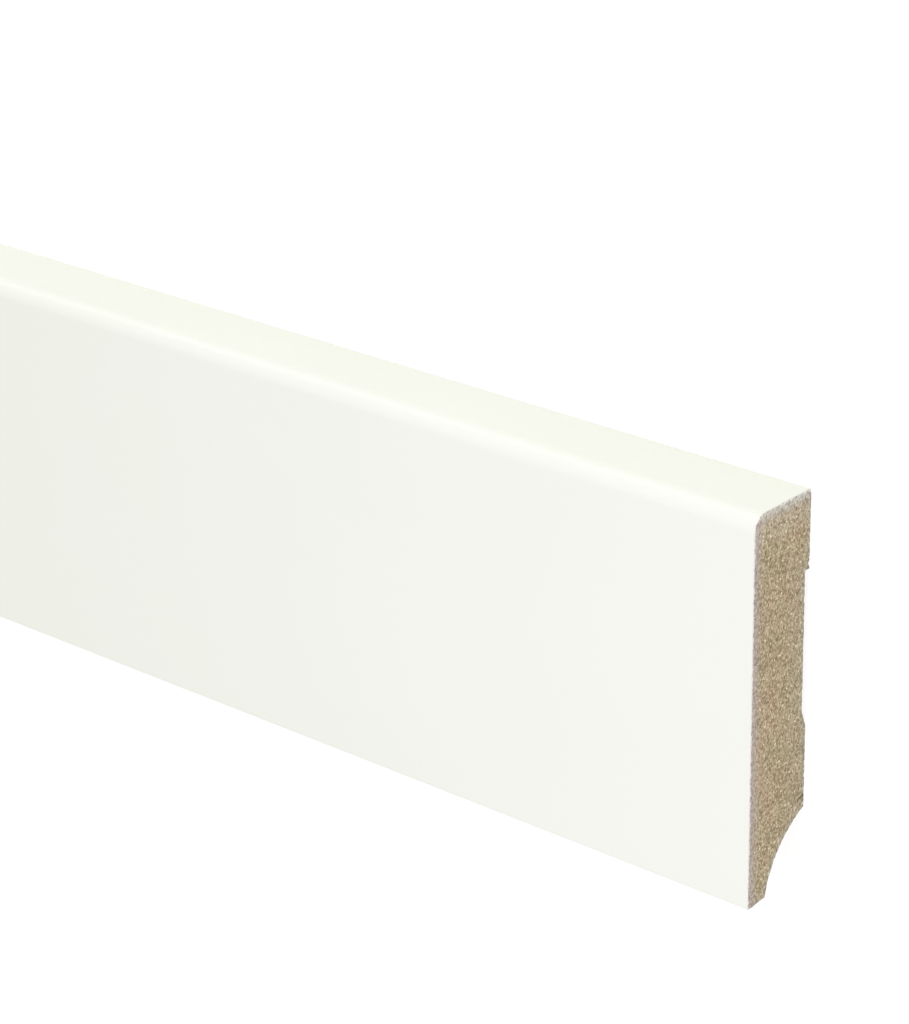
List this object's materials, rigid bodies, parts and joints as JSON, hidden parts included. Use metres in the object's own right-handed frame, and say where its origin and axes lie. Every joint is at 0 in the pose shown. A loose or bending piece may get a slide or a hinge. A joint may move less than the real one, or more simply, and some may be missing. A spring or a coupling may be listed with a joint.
{
  "type": "skirting board length",
  "caption": "Straight length of flat skirting board with an eased top front edge, a relieved back and a cove cut away behind its foot.",
  "frame": {"origin": "under the middle of the board, on the plane of the two pads of its back, halfway between its foot and its top edge", "axes": "+X along the board towards its right-hand end as seen from the room, +Y across the board towards its top edge, +Z out of its front face; the board lies on its back with the front face up"},
  "size_m": [2.4, 0.07, 0.015],
  "materials": {
    "skirting_board": "satin"
  },
  "bodies": {
    "root": {"skirting_board": "skirting_board"}
  },
  "joints": []
}
